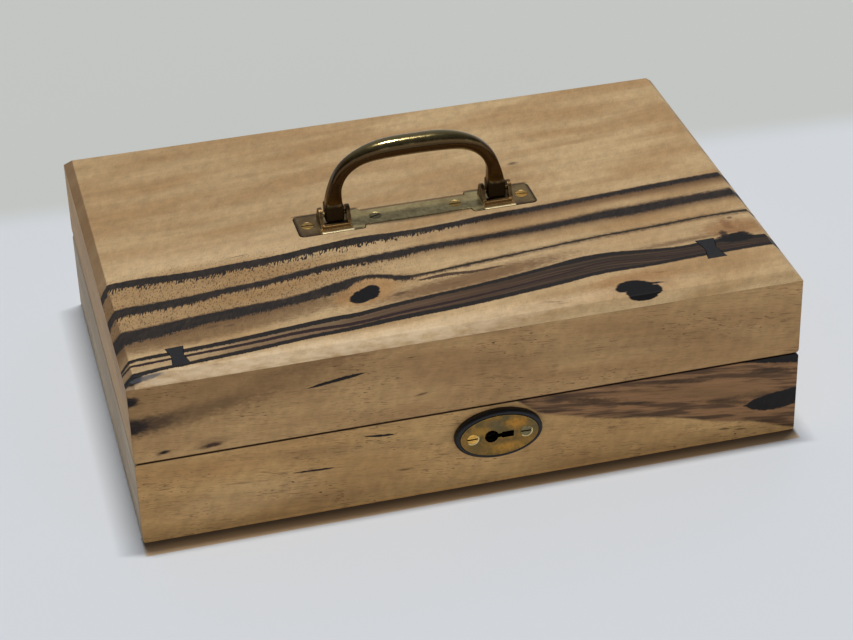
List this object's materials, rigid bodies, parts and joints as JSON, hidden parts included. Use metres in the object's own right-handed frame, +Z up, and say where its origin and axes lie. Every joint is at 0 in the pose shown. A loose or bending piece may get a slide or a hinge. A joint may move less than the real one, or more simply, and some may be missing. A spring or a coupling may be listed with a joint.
{
  "type": "lidded wooden chest",
  "caption": "Small hardwood chest with a hinged chamfered lid, folding brass bail handle, black butterfly keys, oval keyhole escutcheon and box lock.",
  "frame": {"origin": "middle of the underside, on the surface that the chest stands on", "axes": "+X along the front to the right as seen from the front, +Y from the front to the back, +Z up"},
  "size_m": [0.3, 0.2092, 0.123],
  "materials": {
    "streaked_wood": "satin oiled pale hardwood with ink-black streaks and knots",
    "ebony": "polished black hardwood",
    "aged_brass": "cast brass with a greenish brown patina",
    "dark_bronze": "dark browned brass, polished by handling",
    "brass": "lightly tarnished bright brass",
    "steel": "plain bright steel"
  },
  "bodies": {
    "case": {"body_front": "streaked_wood", "body_back": "streaked_wood", "body_left": "streaked_wood", "body_right": "streaked_wood", "body_bottom": "streaked_wood", "escutcheon_boss": "ebony", "escutcheon_plate": "aged_brass", "escutcheon_screw_left": "brass", "escutcheon_screw_right": "brass", "lock_plate": "brass", "lock_cap": "brass", "lock_key_pin": "steel", "lock_spring": "steel", "lock_screw_plate_left": "brass", "lock_screw_plate_right": "brass", "lock_screw_rim_left": "brass", "lock_screw_rim_right": "brass", "hinge_left_body_leaf": "brass", "hinge_left_pin": "brass", "hinge_left_body_screw_1": "brass", "hinge_left_body_screw_2": "brass", "hinge_right_body_leaf": "brass", "hinge_right_pin": "brass", "hinge_right_body_screw_1": "brass", "hinge_right_body_screw_2": "brass"},
    "lid": {"lid_top": "streaked_wood", "lid_front": "streaked_wood", "lid_back": "streaked_wood", "lid_left": "streaked_wood", "lid_right": "streaked_wood", "butterfly_key_left": "ebony", "butterfly_key_right": "ebony", "handle_plate": "aged_brass", "handle_pin_left": "aged_brass", "handle_pin_right": "aged_brass", "handle_screw_1": "brass", "handle_screw_2": "brass", "handle_screw_3": "brass", "handle_screw_4": "brass", "link_plate": "brass", "link_loop": "brass", "link_screw_left": "brass", "link_screw_right": "brass", "hinge_left_lid_leaf": "brass", "hinge_left_lid_screw_1": "brass", "hinge_left_lid_screw_2": "brass", "hinge_right_lid_leaf": "brass", "hinge_right_lid_screw_1": "brass", "hinge_right_lid_screw_2": "brass"},
    "handle": {"handle_bail": "dark_bronze"},
    "bolt": {"lock_bolt": "steel"}
  },
  "joints": [
    {"name": "lid_hinge", "type": "hinge", "parent": "case", "child": "lid", "pos_m": [0, 0.10015, 0.0417], "axis": [-1, 0, 0], "range_deg": [0, 95]},
    {"name": "handle_fold", "type": "hinge", "parent": "lid", "child": "handle", "pos_m": [0.0007, 0.0023, 0.0883], "axis": [-1, 0, 0], "range_deg": [0, 88]},
    {"name": "bolt_slide", "type": "slide", "parent": "case", "child": "bolt", "axis": [1, 0, 0], "range_m": [0, 0.005]}
  ]
}
